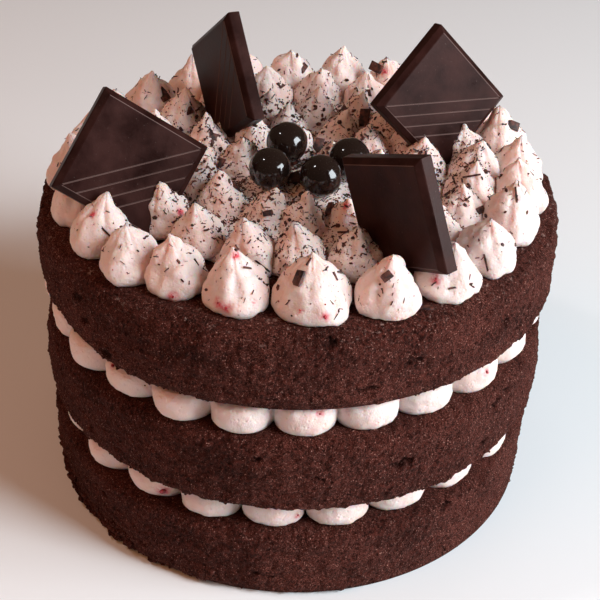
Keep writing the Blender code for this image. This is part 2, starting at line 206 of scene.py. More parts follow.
def addNode(tree, kind, output, sockets, **settings):
    node = tree.nodes.new("ShaderNode" + kind)
    for key, value in settings.items():
        setattr(node, key, value)
    setSockets(tree, node, sockets)
    return node.outputs[output]


def stretched(tree, place, scale):
    return addNode(tree, "Mapping", "Vector", {"Vector": place, "Scale": scale})


def noiseNode(tree, place, scale, detail, roughness):
    return addNode(tree, "TexNoise", "Fac", {
        "Vector": place, "Scale": scale, "Detail": detail, "Roughness": roughness})


def cellNode(tree, place, scale):
    return addNode(tree, "TexVoronoi", "Distance", {"Vector": place, "Scale": scale})


def rangeNode(tree, value, low, high, toLow=0.0, toHigh=1.0):
    return addNode(tree, "MapRange", "Result", {
        "Value": value, "From Min": low, "From Max": high, "To Min": toLow, "To Max": toHigh})


def mathNode(tree, kind, first, second):
    return addNode(tree, "Math", "Value", {0: first, 1: second}, operation=kind)


def product(tree, first, second):
    return mathNode(tree, "MULTIPLY", first, second)


def mixColours(tree, factor, first, second):
    # sockets 6 and 7 and output 2 of this node are those for colours
    first, second = ((*value, 1.0) if isinstance(value, tuple) else value for value in (first, second))
    return addNode(tree, "Mix", 2, {"Factor": factor, 6: first, 7: second}, data_type="RGBA")


def paintedNode(tree, name):
    return addNode(tree, "Attribute", "Fac", {}, attribute_name=name)


def bumpNode(tree, height, distance, strength, below=None):
    sockets = {"Height": height, "Distance": distance, "Strength": strength}
    if below is not None:
        sockets["Normal"] = below
    return addNode(tree, "Bump", "Normal", sockets)


# Colours are linear. A noise is its scale, detail and roughness. A range is two levels, and what they
# become. A bump is its depth in metres and its strength, and sockets are those of the shader

spongeFinish = {
    "pore": (0.0060, 0.0014, 0.0010),
    "crumb": (0.112, 0.0262, 0.0188),
    "dry": (0.215, 0.066, 0.049),
    "glint": (0.58, 0.34, 0.28),
    "scuff": (0.34, 0.22, 0.19),
    "scuffLevel": (0.1045, 0.1100),   # height above the base, metres
    "torn": 0.8,                      # how dark the painted shade inside a tear is
    "crumbNoise": (1150.0, 5.0, 0.75),
    "crumbStretch": (1.0, 1.0, 0.65),
    "crumbBump": (0.0016, 1.0),
    "fineNoise": (2300.0, 2.0, 0.6),
    "fineBump": (0.0006, 1.0),
    "dryNoise": (38.0, 4.0, 0.65),
    "poreNoise": (120.0, 3.0, 0.6),
    "poreCells": 210.0,
    "poreBump": (0.0009, 0.8),
    "bandNoise": (42.0, 3.0, 0.6),
    "bandStretch": (1.0, 1.0, 4.5),
    "scuffNoise": (330.0, 4.0, 0.7),
    "scuffStretch": (1.0, 1.0, 3.0),
    "sockets": {
        "Roughness": 0.85,
        "Specular IOR Level": 0.08, "Specular Tint": (1.0, 0.62, 0.54, 1.0),
        "Sheen Weight": 0.07, "Sheen Roughness": 0.45, "Sheen Tint": (1.0, 0.54, 0.46, 1.0),
    },
}


def spongeMaterial():
    look = spongeFinish
    material, tree, shader, place = newMaterial("cakeCrumb")
    crumb = noiseNode(tree, stretched(tree, place, look["crumbStretch"]), *look["crumbNoise"])
    fine = noiseNode(tree, place, *look["fineNoise"])
    # crumb between pores, in faint level bands
    spread = rangeNode(tree, noiseNode(tree, place, *look["poreNoise"]), 0.46, 0.56)
    cells = rangeNode(tree, cellNode(tree, place, look["poreCells"]), 0.10, 0.22)
    holes = mathNode(tree, "MAXIMUM", cells, spread)
    bands = noiseNode(tree, stretched(tree, place, look["bandStretch"]), *look["bandNoise"])
    tone = rangeNode(tree, crumb, 0.40, 0.60)
    tone = product(tree, tone, rangeNode(tree, holes, 0.0, 1.0, 0.45, 1.0))
    tone = product(tree, tone, rangeNode(tree, bands, 0.40, 0.60, 0.68, 1.0))
    colour = mixColours(tree, tone, look["pore"], look["crumb"])
    # drier patches, painted glints, and painted shade inside the tears
    patches = rangeNode(tree, noiseNode(tree, place, *look["dryNoise"]), 0.38, 0.62)
    dry = product(tree, rangeNode(tree, fine, 0.48, 0.66), patches)
    colour = mixColours(tree, dry, colour, look["dry"])
    # painted glints: pale specks that stand for highlights on the crumb
    glints = product(tree, rangeNode(tree, fine, 0.62, 0.68), rangeNode(tree, crumb, 0.49, 0.57))
    colour = mixColours(tree, glints, colour, look["glint"])
    # painted shade: the tears are darkened towards the pore colour
    torn = rangeNode(tree, paintedNode(tree, "tornCrumb"), 0.0, 1.0, 0.0, look["torn"])
    colour = mixColours(tree, torn, colour, look["pore"])
    # scuffs on the rim of the top
    level = addNode(tree, "SeparateXYZ", "Z", {"Vector": place})
    scratches = noiseNode(tree, stretched(tree, place, look["scuffStretch"]), *look["scuffNoise"])
    rim = rangeNode(tree, level, *look["scuffLevel"])
    scuffs = product(tree, rim, rangeNode(tree, scratches, 0.60, 0.68))
    bump = bumpNode(tree, holes, *look["poreBump"], bumpNode(tree, crumb, *look["crumbBump"]))
    setSockets(tree, shader, {
        "Base Color": mixColours(tree, scuffs, colour, look["scuff"]),
        "Normal": bumpNode(tree, fine, *look["fineBump"], bump), **look["sockets"]})
    return material


creamFinish = {
    "white": (0.735, 0.605, 0.572),
    "blush": (0.745, 0.548, 0.498),
    "stain": (0.62, 0.07, 0.10),
    "roughness": (0.44, 0.62),
    "blushNoise": (70.0, 3.0, 0.6),
    "smallNoise": (480.0, 4.0, 0.65),
    "smallBump": (0.0007, 0.6),
    "juiceNoise": (230.0, 2.0, 0.5),
    "pitCells": 620.0,
    "pitBump": (0.00020, 0.7),
    "grainNoise": (1900.0, 2.0, 0.5),
    "grainBump": (0.00012, 0.6),
    "sockets": {
        "Specular IOR Level": 0.28,
        "Subsurface Weight": 0.58, "Subsurface Radius": (1.0, 0.36, 0.20), "Subsurface Scale": 0.0044,
    },
}


def creamMaterial():
    look = creamFinish
    material, tree, shader, place = newMaterial("whippedCream")
    small = noiseNode(tree, place, *look["smallNoise"])
    blush = rangeNode(tree, noiseNode(tree, place, *look["blushNoise"]), 0.42, 0.66)
    colour = mixColours(tree, blush, look["white"], look["blush"])
    juice = rangeNode(tree, noiseNode(tree, place, *look["juiceNoise"]), 0.745, 0.80, 0.0, 0.55)
    colour = mixColours(tree, juice, colour, look["stain"])
    ragged = product(tree, paintedNode(tree, "fruitStain"), rangeNode(tree, small, 0.35, 0.60))
    pits = rangeNode(tree, cellNode(tree, place, look["pitCells"]), 0.10, 0.34)
    bump = bumpNode(tree, pits, *look["pitBump"], bumpNode(tree, small, *look["smallBump"]))
    setSockets(tree, shader, {
        "Base Color": mixColours(tree, ragged, colour, look["stain"]),
        "Roughness": rangeNode(tree, small, 0.3, 0.7, *look["roughness"]),
        "Normal": bumpNode(tree, noiseNode(tree, place, *look["grainNoise"]), *look["grainBump"], bump),
        **look["sockets"]})
    return material


# The other looks are plain: a tone between dark and light, at times other colours, and a fine grain

barFinish = {
    "dark": (0.0120, 0.0036, 0.0030),
    "light": (0.0310, 0.0110, 0.0092),
    "toneNoise": (90.0, 4.0, 0.6),
    "toneRange": (0.35, 0.65),
    "roughness": (0.3, 0.7, 0.27, 0.44),
    "bloom": ((1500.0, 2.0, 0.6), (0.70, 0.78, 0.0, 0.5), (0.16, 0.12, 0.11)),
    "grainNoise": (900.0, 3.0, 0.6),
    "grainBump": (0.00008, 0.5),
    "sockets": {"Specular IOR Level": 0.11, "Specular Tint": (1.0, 0.74, 0.70, 1.0)},
}
# the lines' slopes take a pale colour, a painted highlight
lineFinish = {**barFinish, "scuff": ((90.0, 4.0, 0.6), (0.30, 0.70, 0.60, 0.80), (0.150, 0.098, 0.088))}
ballFinish = {
    "dark": (0.010, 0.005, 0.004),
    "light": (0.20, 0.14, 0.12),
    "toneNoise": (2200.0, 3.0, 0.7),
    "toneRange": (0.68, 0.76, 0.0, 0.5),
    "roughness": (0.55, 0.76, 0.10, 0.45),
    "grainNoise": (260.0, 2.0, 0.5),
    "grainBump": (0.0003, 0.25),
    "sockets": {"Coat Weight": 0.4, "Coat Roughness": 0.08},
}
gratingFinish = {
    "dark": (0.016, 0.0050, 0.0040),
    "light": (0.130, 0.038, 0.025),
    "toneNoise": (600.0, 2.0, 0.6),
    "toneRange": (0.40, 0.68),
    "grainNoise": (3000.0, 2.0, 0.6),
    "grainBump": (0.0001, 0.5),
    "sockets": {"Roughness": 0.5},
}
# fine cocoa dust, partly real and partly painted shade: crowded in the hollows, its orange-brown grains
# darken them
dustAndHollowShadeFinish = {
    **gratingFinish,
    "dark": (0.070, 0.020, 0.012), "light": (0.240, 0.085, 0.050), "sockets": {"Roughness": 0.8},
}
fruitFinish = {
    "dark": (0.22, 0.012, 0.018),
    "light": (0.55, 0.06, 0.08),
    "toneNoise": (900.0, 2.0, 0.6),
    "toneRange": (0.4, 0.65),
    "grainNoise": (900.0, 2.0, 0.6),
    "grainBump": (0.0003, 0.5),
    "sockets": {
        "Roughness": 0.25,
        "Subsurface Weight": 0.3, "Subsurface Radius": (1.0, 0.2, 0.15), "Subsurface Scale": 0.001,
    },
}


def plainMaterial(name, look):
    material, tree, shader, place = newMaterial(name)
    tone = noiseNode(tree, place, *look["toneNoise"])
    colour = mixColours(tree, rangeNode(tree, tone, *look["toneRange"]), look["dark"], look["light"])
    # other colours over the tone: chocolate bloom, and on the lines' slopes a pale painted highlight
    for layer in ("bloom", "scuff"):
        if layer in look:
            noise, levels, paint = look[layer]
            amount = rangeNode(tree, noiseNode(tree, place, *noise), *levels)
            colour = mixColours(tree, amount, colour, paint)
    if "roughness" in look:
        setSockets(tree, shader, {"Roughness": rangeNode(tree, tone, *look["roughness"])})
    grain = noiseNode(tree, place, *look["grainNoise"])
    setSockets(tree, shader, {
        "Base Color": colour, "Normal": bumpNode(tree, grain, *look["grainBump"]), **look["sockets"]})
    return material


crumbLook = spongeMaterial()
creamLook = creamMaterial()
barLook = plainMaterial("barChocolate", barFinish)
lineLook = plainMaterial("barChocolateScuffed", lineFinish)
ballLook = plainMaterial("ballChocolate", ballFinish)
gratingLook = plainMaterial("gratedChocolate", gratingFinish)
dustAndHollowShadeLook = plainMaterial("cocoaDust", dustAndHollowShadeFinish)
fruitLook = plainMaterial("redFruit", fruitFinish)
print("stage: materials made")


def dress(piece, look, slot=None, *replaced):
    piece.data.materials.clear()
    piece.data.materials.append(look)
    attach(piece, "root")
    if replaced:
        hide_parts(*replaced)
    return piece


# Camera, at the photo's viewing angle

camStyle = {
    "target": (0.0013, 0.0, 0.0619),
    "distance": 0.5001,
    "elevation": 34.62,   # degrees above the horizon
    "roll": 1.186,
    "focal": 1363.2,      # in pixels of a frame 600 wide
    "frame": 600.0,
    "sensor": 36.0,
}


def cameraAxes():
    up = math.radians(camStyle["elevation"])
    roll = math.radians(camStyle["roll"])
    forward = Vector((0.0, math.cos(up), -math.sin(up)))
    right = Vector((1.0, 0.0, 0.0))
    above = right.cross(forward)
    return (
        math.cos(roll) * right + math.sin(roll) * above,
        math.cos(roll) * above - math.sin(roll) * right,
        forward,
    )


def cameraPlace():
    return Vector(camStyle["target"]) - camStyle["distance"] * cameraAxes()[2]


def makeCamera():
    right, above, forward = cameraAxes()
    data = bpy.data.cameras.new("photoCamera")
    data.sensor_width = camStyle["sensor"]
    data.lens = camStyle["focal"] / camStyle["frame"] * camStyle["sensor"]
    camera = bpy.data.objects.new("photoCamera", data)
    bpy.context.scene.collection.objects.link(camera)
    camera.matrix_world = axesMatrix(cameraPlace(), right, above, -forward)
    bpy.context.scene.camera = camera


def pixelWay(across, down):
    # the way that the camera looks through a pixel of the photo
    right, above, forward = cameraAxes()
    half, focal = 0.5 * camStyle["frame"], camStyle["focal"]
    return (forward + right * (across - half) / focal + above * (half - down) / focal).normalized()


def castPixel(tree, across, down):
    return tree.ray_cast(cameraPlace(), pixelWay(across, down))


# Floor, light and backdrop

studio = {
    "floorSize": 8.0,
    "floorLevel": -0.0002,    # a hair below the cake
    "floorColour": (0.84, 0.86, 0.88),
    "floorRoughness": 0.45,
    "floorFade": 0.97,
    "floorNoise": (3.0, 2.0, 0.5),
    "world": (1.0, 0.70, 0.50),
    "worldStrength": 0.10,
    # name, way to it, distance, size, power, colour, and whether polished things show it
    "lights": (
        ("windowLight", (0.87, -0.34, 0.36), 1.4, 0.80, 26.0, (0.88, 0.95, 1.0), True),
        ("roomLight", (-0.62, -0.30, 0.72), 1.3, 1.2, 6.0, (1.0, 0.38, 0.15), False),
        ("overheadLight", (0.62, -0.40, 0.68), 1.6, 0.42, 15.5, (0.88, 0.96, 1.0), False),
        ("ceilingLamp", (-0.50, -0.07, 0.86), 1.2, 0.06, 1.0, (1.0, 1.0, 1.0), True),
    ),
}


def areaLight(name, way, distance, size, power, colour, inPolish):
    data = bpy.data.lights.new(name, "AREA")
    data.shape = "SQUARE"
    data.size = size
    data.energy = power
    data.color = colour
    light = bpy.data.objects.new(name, data)
    bpy.context.scene.collection.objects.link(light)
    middle = Vector(camStyle["target"])
    place = middle + Vector(way).normalized() * distance
    turn = (middle - place).to_track_quat("-Z", "Y").to_matrix().to_4x4()
    light.matrix_world = Matrix.Translation(place) @ turn
    light.visible_glossy = inPolish


def makeStudio():
    floor = addShape("paleFloor", bpy.ops.mesh.primitive_plane_add, size=studio["floorSize"],
                     location=(0, 0, studio["floorLevel"]))
    material, tree, shader, place = newMaterial("paleFloor")
    base = studio["floorColour"]
    pale = tuple(studio["floorFade"] * value for value in base)
    clouds = noiseNode(tree, place, *studio["floorNoise"])
    setSockets(tree, shader, {
        "Base Color": mixColours(tree, clouds, base, pale),
        "Roughness": studio["floorRoughness"],
    })
    floor.data.materials.append(material)
    world = bpy.data.worlds.new("studioWorld")
    world.use_nodes = True
    setSockets(world.node_tree, world.node_tree.nodes["Background"], {
        "Color": (*studio["world"], 1.0), "Strength": studio["worldStrength"]})
    bpy.context.scene.world = world
    for light in studio["lights"]:
        areaLight(*light)
    bpy.context.scene.view_settings.view_transform = "Standard"


makeCamera()
makeStudio()
print("stage: camera and studio made")


# Sponge layers: a turned disc, drawn onto its solid and given crumb

spongeStyle = {
    "pieces": (
        ("spongeBottom", "sponge_bottom", 0.0879, 0.0035, 0.0021),
        ("spongeMiddle", "sponge_middle", 0.0885, 0.0045, 0.0006),
        ("spongeTop", "sponge_top", 0.0900, 0.0055, 0.0027),
    ),
    "steps": 900,
    "row": 0.00060,        # height of a row of faces on the side
    "denseFrom": 0.93,     # share of the radius past which the rows are dense
    "shoulderSteps": 6,
    "ease": (0.5, 8),      # factor and rounds of the smoothing before the relief
    "footRise": 1.4,       # the foot is this much taller than it is deep
    "blend": (0.03, 0.0012),   # where the relief fades in: share of the radius, and metres above the base
    # swell, tears, lumps and crumb: size, height in metres, middle level, depth, contrast and kind
    "relief": (
        (0.0070, 0.0006, 0.5, 2, 1.0, "SOFT_NOISE"), (0.0050, 0.0015, 0.35, 3, 1.0, "HARD_NOISE"),
        (0.0021, 0.0008, 0.5, 3, 1.3, "SOFT_NOISE"), (0.0010, 0.0006, 0.5, 2, 1.5, "SOFT_NOISE"),
    ),
}


def spongeOutline(low, high, radius, shoulder, foot):
    inner = spongeStyle["denseFrom"] * radius
    rim = [(inner, high)]
    steps = spongeStyle["shoulderSteps"]
    for step in range(steps + 1):
        turn = 0.5 * math.pi * step / steps
        rim.append((radius - shoulder * (1 - math.sin(turn)), high - shoulder * (1 - math.cos(turn))))
    rim += [(radius, low + spongeStyle["footRise"] * foot), (radius - foot, low), (inner, low)]
    middle = 0.5 * radius
    return [(0, high), (middle, high)] + evenPath(rim, spongeStyle["row"]) + [(middle, low), (0, low)]


def sideGroup(piece, radius, low):
    # vertices that the crumb may move: the side, the shoulder and the foot
    group = piece.vertex_groups.new(name="side")
    start = spongeStyle["denseFrom"] * radius
    share, rise = spongeStyle["blend"]
    for vertex in piece.data.vertices:
        reach = math.hypot(vertex.co.x, vertex.co.y)
        weight = min(1.0, max(0.0, (reach - start) / (share * radius)))
        weight *= min(1.0, max(0.0, (vertex.co.z - low) / rise))
        if weight > 0:
            group.add([vertex.index], weight, "REPLACE")


def makeSponge():
    textures = [cloudTexture("spongeRelief", size, depth, contrast, kind)
                for size, _, _, depth, contrast, kind in spongeStyle["relief"]]
    for name, node, radius, shoulder, foot in spongeStyle["pieces"]:
        low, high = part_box(node)
        outline = spongeOutline(low.z, high.z, radius, shoulder, foot)
        piece = turnedPiece(name, outline, spongeStyle["steps"])
        sideGroup(piece, radius, low.z)
        applyModifier(piece, "SHRINKWRAP", target=nodes[node], wrap_method="NEAREST_SURFACEPOINT",
                      vertex_group="side")
        factor, rounds = spongeStyle["ease"]
        applyModifier(piece, "SMOOTH", factor=factor, iterations=rounds, vertex_group="side")
        for texture, (_, strength, middle, *_) in zip(textures, spongeStyle["relief"]):
            roughen(piece, texture, strength, middle, "side")
        smoothShade(piece)
        dress(piece, crumbLook, "sponge", node)
        spongePieces.append(piece)
        print("piece:", name, len(piece.data.polygons), "faces")


spongePieces = []
makeSponge()
print("stage: sponge layers made")


# Tears in the crumb: ragged slits pressed into the side, with painted shade inside them

tearStyle = {
    # pixel across and down, length, height and depth in metres, and turn from level in degrees
    "seen": (
        (403, 463, 0.0095, 0.0028, 0.0021, 9), (497, 402, 0.0062, 0.0026, 0.0017, 12),
        (483, 443, 0.0066, 0.0022, 0.0016, 6), (506, 322, 0.0048, 0.0024, 0.0016, 35),
        (366, 389, 0.0100, 0.0015, 0.0012, 3), (257, 460, 0.0032, 0.0018, 0.0012, 0),
        (333, 343, 0.0038, 0.0026, 0.0012, 30), (520, 365, 0.0040, 0.0018, 0.0010, 60),
        (446, 505, 0.0050, 0.0018, 0.0012, 8), (320, 480, 0.0044, 0.0014, 0.0009, -30),
    ),
    "count": 14,           # others on each layer, anywhere round it
    "seed": 61,
    "length": (0.0022, 0.0068),
    "shape": (0.25, 0.5),  # height as a share of the length
    "depth": (0.0006, 0.0013),
    "turn": 18.0,
    "levels": (0.15, 0.85),    # share of a layer's height
    "waves": 7.0,          # how often a slit wavers over half its length
    "ragged": 0.4,         # how far, as a share of half its height
    "steep": 1.8,          # how soon it reaches its depth
}


def tearCrumb(piece, finder, place, length, height, depth, degrees):
    outward = Vector((place.x, place.y, 0.0)).normalized()
    level = Vector((-outward.y, outward.x, 0.0))
    turn = math.radians(degrees)
    along = math.cos(turn) * level + math.sin(turn) * Vector((0.0, 0.0, 1.0))
    above = outward.cross(along)
    torn = piece.data.attributes["tornCrumb"].data
    for spot, index, _ in finder.find_range(place, 0.5 * length):
        reach = (spot - place).dot(along) / (0.5 * length)
        rise = (spot - place).dot(above) / (0.5 * height)
        # each tear is ragged in its own way
        rise += tearStyle["ragged"] * math.sin(tearStyle["waves"] * reach + 1000.0 * place.x)
        inside = 1.0 - reach * reach - rise * rise
        if inside > 0.0:
            vertex = piece.data.vertices[index]
            vertex.co -= outward * depth * min(1.0, tearStyle["steep"] * inside)
            # the tear is marked for painted shade, darkest at its middle
            torn[index].value = min(1.0, 2.0 * inside)


def makeTears():
    draw = random.Random(tearStyle["seed"])
    surfaces = {piece.name: surfaceTree([piece]) for piece in spongePieces}
    seen = {}
    for across, down, *shape in tearStyle["seen"]:
        found = [(name, castPixel(surface, across, down)) for name, surface in surfaces.items()]
        found = [(hit[3], name, hit[0]) for name, hit in found if hit[0] is not None]
        if found:
            _, name, place = min(found)
            seen.setdefault(name, []).append((place, *shape))
    for piece, (_, node, radius, *_) in zip(spongePieces, spongeStyle["pieces"]):
        low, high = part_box(node)
        piece.data.attributes.new("tornCrumb", "FLOAT", "POINT")
        finder = KDTree(len(piece.data.vertices))
        for vertex in piece.data.vertices:
            finder.insert(vertex.co, vertex.index)
        finder.balance()
        tears = seen.get(piece.name, [])
        for _ in range(tearStyle["count"]):
            angle = draw.uniform(0, math.tau)
            level = low.z + (high.z - low.z) * draw.uniform(*tearStyle["levels"])
            length = draw.uniform(*tearStyle["length"])
            place = Vector((radius * math.cos(angle), radius * math.sin(angle), level))
            tears.append((place, length, length * draw.uniform(*tearStyle["shape"]),
                          draw.uniform(*tearStyle["depth"]),
                          draw.uniform(-tearStyle["turn"], tearStyle["turn"])))
        for tear in tears:
            tearCrumb(piece, finder, *tear)
        print("piece:", piece.name, len(tears), "tears")


makeTears()
print("stage: sponge torn")


# Dollops of cream, laid out by the same rule and draws as their solids

ringStyle = {
    "outerRadius": 0.0755,
    "outerAngles": (-178, -162, -147, -133, -120, -104, -86, -69, -53, -38, -23, -9,
                    4, 18, 33, 48, 63, 78, 93, 108, 123, 138, 153, 167),
    "outerInsets": {-120: 0.0026, -104: 0.0023, -86: 0.0018, -69: -0.0018, -53: -0.0010},
    "outerWidth": 0.0204,
    "outerHeight": 0.0186,
    "wideAngle": -86,
    "wideExtra": 0.0034,
    "wideSpread": 12,
    "innerCentre": (0.0035, 0.0035),
    "secondRadius": 0.0575,
    "secondAngles": (-176, -160, -143, -127, -108, -93, -75, -44, -30, -16,
                     -2, 15, 31, 49, 68, 87, 106, 125, 144, 164),
    "secondWidth": 0.0190,
    "secondHeight": 0.0176,
    "heapRadius": 0.0475,
    "heapRings": ((0.0385, 16, 0), (0.0235, 9, 24), (0.0092, 3, 117)),
    "heapWidth": 0.0176,
    "heapHeight": 0.0170,
    "heapJitter": 4.0,
    "ringJitter": 0.0005,
    "widthJitter": 0.03,
    "heightJitter": 0.07,
    "tipCurl": 0.0032,
    "leastCurl": 0.2,
    "foldDepth": 0.05,
    "foldCount": 3,
    "foldTwist": 4.0,
    "gap": 0.0003,
    "search": 0.0100,
    "press": 0.80,
    "seeds": (11, 23, 5),
}
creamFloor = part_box("sponge_top")[1].z + ringStyle["gap"]


def planDollop(middle, angle, ring, width, height, draw):
    turn = math.radians(angle)
    reach = ring + draw.uniform(-ringStyle["ringJitter"], ringStyle["ringJitter"])
    plan = {
        "centre": Vector((middle[0] + reach * math.cos(turn), middle[1] + reach * math.sin(turn), 0.0)),
        "radius": 0.5 * width * draw.uniform(1 - ringStyle["widthJitter"], 1 + ringStyle["widthJitter"]),
        "height": height * draw.uniform(1 - ringStyle["heightJitter"], 1 + ringStyle["heightJitter"]),
        "foldTurn": draw.uniform(0.0, math.tau),
        "walls": [],
    }
    curlTurn = draw.uniform(0.0, math.tau)
    curl = ringStyle["tipCurl"] * draw.uniform(ringStyle["leastCurl"], 1.0)
    plan["curl"] = Vector((curl * math.cos(curlTurn), curl * math.sin(curlTurn), 0.0))
    return plan


def outerPlans():
    draw = random.Random(ringStyle["seeds"][0])
    plans = []
    for angle in ringStyle["outerAngles"]:
        spread = (angle - ringStyle["wideAngle"]) / ringStyle["wideSpread"]
        width = ringStyle["outerWidth"] + ringStyle["wideExtra"] * math.exp(-spread * spread)
        ring = ringStyle["outerRadius"] - ringStyle["outerInsets"].get(angle, 0.0)
        plans.append(planDollop((0.0, 0.0), angle, ring, width, ringStyle["outerHeight"], draw))
    return plans


def secondPlans():
    draw = random.Random(ringStyle["seeds"][1])
    return [
        planDollop(ringStyle["innerCentre"], angle, ringStyle["secondRadius"], ringStyle["secondWidth"],
                   ringStyle["secondHeight"], draw)
        for angle in ringStyle["secondAngles"]
    ]


def heapPlans():
    draw = random.Random(ringStyle["seeds"][2])
    plans = []
    for ring, count, first in ringStyle["heapRings"]:
        for index in range(count):
            angle = first + 360.0 * index / count
            angle += draw.uniform(-ringStyle["heapJitter"], ringStyle["heapJitter"])
            plans.append(planDollop(ringStyle["innerCentre"], angle, ring, ringStyle["heapWidth"],
                                    ringStyle["heapHeight"], draw))
    return plans


def setWalls(plans):
    # upright planes between neighbours, where each dollop is squashed flat
    for plan in plans:
        for other in plans:
            way = other["centre"] - plan["centre"]
            spacing = way.length
            if other is plan or spacing > plan["radius"] + other["radius"] + ringStyle["search"]:
                continue
            share = plan["radius"] / (plan["radius"] + other["radius"])
            plan["walls"].append((way / spacing, plan["centre"], spacing * share - 0.5 * ringStyle["gap"]))


def pressInside(point, walls):
    # soft cream keeps a little of its roundness, so neighbours meet in a crease
    for way, start, reach in walls:
        past = (point - start).dot(way) - reach
        if past > 0.0:
            point = point - way * past * ringStyle["press"]
    return point


# One dollop is turned once, and every other is its copy, folded, curled and pressed

dollopStyle = {
    "side": ((0.035, 0.985), (0.09, 0.945), (0.18, 0.885), (0.32, 0.80), (0.49, 0.70), (0.66, 0.59),
             (0.80, 0.475), (0.91, 0.365), (0.975, 0.27), (1.0, 0.18), (0.99, 0.10), (0.95, 0.04),
             (0.88, 0.0)),
    "row": 0.05,          # spacing of the rows, as a share of the radius
    "steps": 64,
    "ridges": 0.16,       # depth of the fine upright ridges near the tip
    "ridgeCount": 5,
    "ridgeTwist": 1.5,
    "dents": (0.0058, 0.0026),
    "grain": (0.0018, 0.00036),
}


def dollopMaster():
    side = [(0.0, 1.0)] + list(dollopStyle["side"])
    outline = evenPath(side, dollopStyle["row"]) + [(0.45, 0.0), (0.0, 0.0)]
    return turnedPiece("dollopMaster", outline, dollopStyle["steps"])


def shapeDollop(piece, plan):
    for vertex in piece.data.vertices:
        point = vertex.co
        rise = point.z
        angle = math.atan2(point.y, point.x)
        fold = 1.0 + ringStyle["foldDepth"] * math.sin(
            ringStyle["foldCount"] * angle + plan["foldTurn"] + ringStyle["foldTwist"] * rise)
        ridge = math.sin(
            dollopStyle["ridgeCount"] * angle + 2.0 * plan["foldTurn"] + dollopStyle["ridgeTwist"] * rise)
        fold -= dollopStyle["ridges"] * rise * max(0.0, ridge) ** 3
        place = Vector((point.x * plan["radius"] * fold, point.y * plan["radius"] * fold,
                        rise * plan["height"]))
        place += plan["centre"] + plan["curl"] * rise ** 3
        place.z += creamFloor
        vertex.co = place


def pressDollop(piece, walls):
    for vertex in piece.data.vertices:
        vertex.co = pressInside(vertex.co.copy(), walls)


def addHeapWall(plan):
    # keeps a dollop of the second ring off the crowded middle
    way = Vector((*ringStyle["innerCentre"], 0.0)) - plan["centre"]
    reach = way.length - ringStyle["heapRadius"] - ringStyle["gap"]
    plan["walls"].append((way.normalized(), plan["centre"], reach))


creamPieces = []
outerRing = outerPlans()
secondRing = secondPlans()
setWalls(outerRing + secondRing)
for plan in secondRing:
    addHeapWall(plan)
dents = cloudTexture("dollopDents", dollopStyle["dents"][0], 1)
grain = cloudTexture("dollopGrain", dollopStyle["grain"][0], 2)


def makeDollop(master, name, plan):
    piece = copyPiece(master, name)
    shapeDollop(piece, plan)
    roughen(piece, dents, dollopStyle["dents"][1])
    roughen(piece, grain, dollopStyle["grain"][1])
    return piece


def makeRings():
    master = dollopMaster()
    for label, plans in (("outer", outerRing), ("second", secondRing)):
        for index, plan in enumerate(plans):
            piece = makeDollop(master, "%sDollop%02d" % (label, index + 1), plan)
            pressDollop(piece, plan["walls"])
            smoothShade(piece)
            dress(piece, creamLook, "cream", "dollop_%s_%02d" % (label, index + 1))
            creamPieces.append(piece)
    return master


dollopSeed = makeRings()
print("stage: rings of dollops made")


# The crowded middle: a low mound with dollops standing on it, fused into one piece

heapStyle = {
    "bedRadius": 0.0620,
    "bedHeight": 0.0036,
    "bedStep": 0.003,
    "bedSteps": 96,
    "bedRim": ((0.001, 0.7), (0.0, 0.3), (0.0, 0.0)),   # inset in metres, and share of the height
    "moundHeight": 0.0082,
    "moundRadius": 0.0200,
    "moundCentre": (0.0030, -0.0140),
    "clearing": 0.0115,    # no dollop stands nearer than this to a ball
    "voxel": 0.00058,
    "ease": 0.4,           # factor of the smoothing after the remesh
}
ballStyle = {
    "centres": ((-0.0042, -0.0020, 0.1280), (-0.0094, -0.0190, 0.1272),
                (0.0073, -0.0232, 0.1272), (0.0169, -0.0118, 0.1276)),
    "radius": 0.0070,
    "segments": 56,
    "rings": 36,
    "waves": (0.0040, 0.0003),   # size and height in metres
}


def underBall(plan):
    for centre in ballStyle["centres"]:
        if math.hypot(plan["centre"].x - centre[0], plan["centre"].y - centre[1]) < heapStyle["clearing"]:
            return True
    return False


def makeBed():
    height = heapStyle["bedHeight"]
    reach = heapStyle["bedRadius"]
    outline = evenPath([(0.0, height), (reach - heapStyle["bedStep"], height)], heapStyle["bedStep"])
    outline += [(reach - inset, share * height) for inset, share in heapStyle["bedRim"]] + [(0.0, 0.0)]
    bed = turnedPiece("creamBed", outline, heapStyle["bedSteps"])
    for vertex in bed.data.vertices:
        point = vertex.co
        point.x += ringStyle["innerCentre"][0]
        point.y += ringStyle["innerCentre"][1]
        if point.z > 0.5 * height:
            away = math.hypot(point.x - heapStyle["moundCentre"][0], point.y - heapStyle["moundCentre"][1])
            point.z += heapStyle["moundHeight"] * math.exp(-((away / heapStyle["moundRadius"]) ** 2))
        point.z += creamFloor
    return bed


def makeHeap():
    shells = [makeBed()]
    for index, plan in enumerate(heap):
        shells.append(makeDollop(dollopSeed, "heapDollop%02d" % (index + 1), plan))
    piece = joinPieces(shells, "creamCentre")
    applyModifier(piece, "REMESH", mode="VOXEL", voxel_size=heapStyle["voxel"], adaptivity=0.0)
    applyModifier(piece, "SMOOTH", factor=heapStyle["ease"], iterations=1)
    smoothShade(piece)
    dress(piece, creamLook, "cream", "cream_centre")
    creamPieces.append(piece)
    print("piece: creamCentre", len(piece.data.polygons), "faces")


heap = [plan for plan in heapPlans() if not underBall(plan)]
makeHeap()
dropPieces([dollopSeed])
print("stage: crowded middle made")


# Piped fillings: a disc turned with a plump edge, its side drawn in between one dollop and the next

